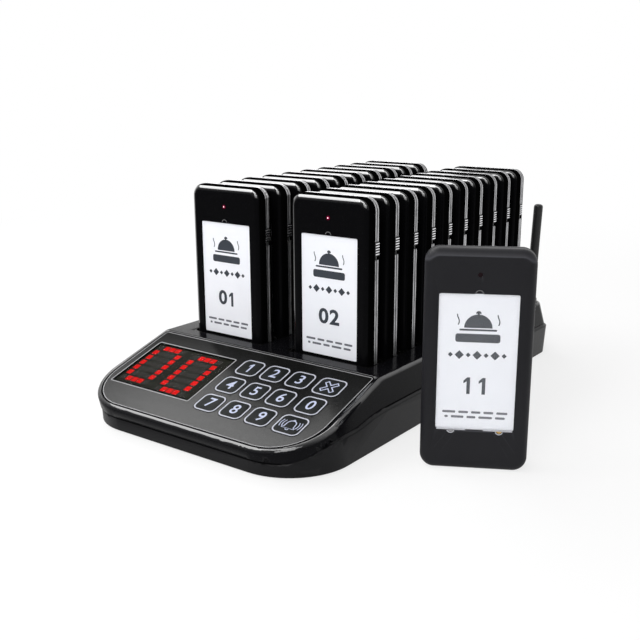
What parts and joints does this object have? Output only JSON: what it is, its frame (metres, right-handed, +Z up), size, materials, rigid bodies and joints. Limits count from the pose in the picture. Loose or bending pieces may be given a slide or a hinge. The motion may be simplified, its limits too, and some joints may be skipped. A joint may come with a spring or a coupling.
{
  "type": "guest pager system",
  "caption": "Charging base with a sloping keypad panel and a small display, two columns of slots that hold slim upright pagers, and a folding aerial at the back.",
  "frame": {"origin": "on the table under the base, at the centre of the base's footprint", "axes": "+X to the right of a person facing the keypad, +Y to the back of the base, +Z up"},
  "size_m": [0.2365, 0.2989, 0.1268],
  "materials": {
    "tray_plastic": "fine-textured dark grey moulding",
    "gloss_black": "high gloss black moulding",
    "overlay_film": "speckled graphite film",
    "display_tint": "smoked red window",
    "digit_module": "dot matrix blocks, lit dots",
    "key_plastic": "soft dark keys with pale legends",
    "soft_rubber": "matt",
    "board": "green solder mask",
    "gilt": "gilt contact metal",
    "steel": "zinc plated",
    "inlet_plastic": "black moulding",
    "aerial_rubber": "smooth",
    "pager_shell": "fine satin charcoal",
    "card_print": "printed white card",
    "clear_cover": "clear cover",
    "red_lens": "red lens",
    "cell_wrap": "film wrapped cell"
  },
  "bodies": {
    "base": {"lower_tray": "tray_plastic", "upper_housing": "gloss_black", "slot_bank_left": "gloss_black", "slot_bank_right": "gloss_black", "panel_overlay": "overlay_film", "display_window": "display_tint", "digit_modules": "digit_module", "panel_board": "board", "charging_board": "board", "charging_contacts": "gilt", "power_inlet": "inlet_plastic", "rubber_feet": "soft_rubber", "housing_screws": "steel", "aerial_connector": "gilt", "key_mat": "soft_rubber"},
    "pager_01": {"pager_01": "gloss_black"},
    "pager_02": {"pager_02": "gloss_black"},
    "pager_03": {"pager_03": "gloss_black"},
    "pager_04": {"pager_04": "gloss_black"},
    "pager_05": {"pager_05": "gloss_black"},
    "pager_06": {"pager_06": "gloss_black"},
    "pager_07": {"pager_07": "gloss_black"},
    "pager_08": {"pager_08": "gloss_black"},
    "pager_09": {"pager_09": "gloss_black"},
    "pager_10": {"pager_10": "gloss_black"},
    "pager_12": {"pager_12": "gloss_black"},
    "pager_13": {"pager_13": "gloss_black"},
    "pager_14": {"pager_14": "gloss_black"},
    "pager_15": {"pager_15": "gloss_black"},
    "pager_16": {"pager_16": "gloss_black"},
    "pager_17": {"pager_17": "gloss_black"},
    "pager_18": {"pager_18": "gloss_black"},
    "pager_19": {"pager_19": "gloss_black"},
    "pager_20": {"pager_20": "gloss_black"},
    "pager_21": {"pager_21": "gloss_black"},
    "pager_11": {"pager_11_front_shell": "pager_shell", "pager_11_back_shell": "pager_shell", "pager_11_card": "card_print", "pager_11_card_window": "clear_cover", "pager_11_board": "board", "pager_11_battery": "cell_wrap", "pager_11_motor": "steel", "pager_11_led": "red_lens", "pager_11_contacts": "gilt"},
    "pager_11_switch": {"pager_11_switch": "pager_shell"},
    "key_1_button": {"key_1": "key_plastic"},
    "key_2_button": {"key_2": "key_plastic"},
    "key_3_button": {"key_3": "key_plastic"},
    "key_clear_button": {"key_clear": "key_plastic"},
    "key_4_button": {"key_4": "key_plastic"},
    "key_5_button": {"key_5": "key_plastic"},
    "key_6_button": {"key_6": "key_plastic"},
    "key_0_button": {"key_0": "key_plastic"},
    "key_7_button": {"key_7": "key_plastic"},
    "key_8_button": {"key_8": "key_plastic"},
    "key_9_button": {"key_9": "key_plastic"},
    "key_call_button": {"key_call": "key_plastic"},
    "aerial_fork": {"aerial_swivel": "aerial_rubber"},
    "aerial_whip": {"aerial_rod": "aerial_rubber"}
  },
  "joints": [
    {"name": "pager_01_lift", "type": "slide", "parent": "base", "child": "pager_01", "axis": [0, 0, 1], "range_m": [0, 0.05]},
    {"name": "pager_02_lift", "type": "slide", "parent": "base", "child": "pager_02", "axis": [0, 0, 1], "range_m": [0, 0.05]},
    {"name": "pager_03_lift", "type": "slide", "parent": "base", "child": "pager_03", "axis": [0, 0, 1], "range_m": [0, 0.05]},
    {"name": "pager_04_lift", "type": "slide", "parent": "base", "child": "pager_04", "axis": [0, 0, 1], "range_m": [0, 0.05]},
    {"name": "pager_05_lift", "type": "slide", "parent": "base", "child": "pager_05", "axis": [0, 0, 1], "range_m": [0, 0.05]},
    {"name": "pager_06_lift", "type": "slide", "parent": "base", "child": "pager_06", "axis": [0, 0, 1], "range_m": [0, 0.05]},
    {"name": "pager_07_lift", "type": "slide", "parent": "base", "child": "pager_07", "axis": [0, 0, 1], "range_m": [0, 0.05]},
    {"name": "pager_08_lift", "type": "slide", "parent": "base", "child": "pager_08", "axis": [0, 0, 1], "range_m": [0, 0.05]},
    {"name": "pager_09_lift", "type": "slide", "parent": "base", "child": "pager_09", "axis": [0, 0, 1], "range_m": [0, 0.05]},
    {"name": "pager_10_lift", "type": "slide", "parent": "base", "child": "pager_10", "axis": [0, 0, 1], "range_m": [0, 0.05]},
    {"name": "pager_12_lift", "type": "slide", "parent": "base", "child": "pager_12", "axis": [0, 0, 1], "range_m": [0, 0.05]},
    {"name": "pager_13_lift", "type": "slide", "parent": "base", "child": "pager_13", "axis": [0, 0, 1], "range_m": [0, 0.05]},
    {"name": "pager_14_lift", "type": "slide", "parent": "base", "child": "pager_14", "axis": [0, 0, 1], "range_m": [0, 0.05]},
    {"name": "pager_15_lift", "type": "slide", "parent": "base", "child": "pager_15", "axis": [0, 0, 1], "range_m": [0, 0.05]},
    {"name": "pager_16_lift", "type": "slide", "parent": "base", "child": "pager_16", "axis": [0, 0, 1], "range_m": [0, 0.05]},
    {"name": "pager_17_lift", "type": "slide", "parent": "base", "child": "pager_17", "axis": [0, 0, 1], "range_m": [0, 0.05]},
    {"name": "pager_18_lift", "type": "slide", "parent": "base", "child": "pager_18", "axis": [0, 0, 1], "range_m": [0, 0.05]},
    {"name": "pager_19_lift", "type": "slide", "parent": "base", "child": "pager_19", "axis": [0, 0, 1], "range_m": [0, 0.05]},
    {"name": "pager_20_lift", "type": "slide", "parent": "base", "child": "pager_20", "axis": [0, 0, 1], "range_m": [0, 0.05]},
    {"name": "pager_21_lift", "type": "slide", "parent": "base", "child": "pager_21", "axis": [0, 0, 1], "range_m": [0, 0.05]},
    {"name": "pager_11_lift", "type": "slide", "parent": "base", "child": "pager_11", "axis": [0, 0, 1], "range_m": [0, 0.05]},
    {"name": "pager_11_switch_slide", "type": "slide", "parent": "pager_11", "child": "pager_11_switch", "axis": [0, 0, -1], "range_m": [0, 0.002]},
    {"name": "key_1_press", "type": "slide", "parent": "base", "child": "key_1_button", "axis": [0, 0.304, -0.9527], "range_m": [0, 0.0006], "stiffness_N_per_m": 400, "springref_m": -0.0005},
    {"name": "key_2_press", "type": "slide", "parent": "base", "child": "key_2_button", "axis": [0, 0.304, -0.9527], "range_m": [0, 0.0006], "stiffness_N_per_m": 400, "springref_m": -0.0005},
    {"name": "key_3_press", "type": "slide", "parent": "base", "child": "key_3_button", "axis": [0, 0.304, -0.9527], "range_m": [0, 0.0006], "stiffness_N_per_m": 400, "springref_m": -0.0005},
    {"name": "key_clear_press", "type": "slide", "parent": "base", "child": "key_clear_button", "axis": [0, 0.304, -0.9527], "range_m": [0, 0.0006], "stiffness_N_per_m": 400, "springref_m": -0.0005},
    {"name": "key_4_press", "type": "slide", "parent": "base", "child": "key_4_button", "axis": [0, 0.304, -0.9527], "range_m": [0, 0.0006], "stiffness_N_per_m": 400, "springref_m": -0.0005},
    {"name": "key_5_press", "type": "slide", "parent": "base", "child": "key_5_button", "axis": [0, 0.304, -0.9527], "range_m": [0, 0.0006], "stiffness_N_per_m": 400, "springref_m": -0.0005},
    {"name": "key_6_press", "type": "slide", "parent": "base", "child": "key_6_button", "axis": [0, 0.304, -0.9527], "range_m": [0, 0.0006], "stiffness_N_per_m": 400, "springref_m": -0.0005},
    {"name": "key_0_press", "type": "slide", "parent": "base", "child": "key_0_button", "axis": [0, 0.304, -0.9527], "range_m": [0, 0.0006], "stiffness_N_per_m": 400, "springref_m": -0.0005},
    {"name": "key_7_press", "type": "slide", "parent": "base", "child": "key_7_button", "axis": [0, 0.304, -0.9527], "range_m": [0, 0.0006], "stiffness_N_per_m": 400, "springref_m": -0.0005},
    {"name": "key_8_press", "type": "slide", "parent": "base", "child": "key_8_button", "axis": [0, 0.304, -0.9527], "range_m": [0, 0.0006], "stiffness_N_per_m": 400, "springref_m": -0.0005},
    {"name": "key_9_press", "type": "slide", "parent": "base", "child": "key_9_button", "axis": [0, 0.304, -0.9527], "range_m": [0, 0.0006], "stiffness_N_per_m": 400, "springref_m": -0.0005},
    {"name": "key_call_press", "type": "slide", "parent": "base", "child": "key_call_button", "axis": [0, 0.304, -0.9527], "range_m": [0, 0.0006], "stiffness_N_per_m": 400, "springref_m": -0.0005},
    {"name": "aerial_turn", "type": "hinge", "parent": "base", "child": "aerial_fork", "pos_m": [0.0606, 0.151, 0.0125], "axis": [0, 1, 0], "range_deg": [-92, 88]},
    {"name": "aerial_fold", "type": "hinge", "parent": "aerial_fork", "child": "aerial_whip", "pos_m": [0.0606, 0.151, 0.0125], "axis": [-0.9994, 0, 0.0349], "range_deg": [0, 90]}
  ]
}
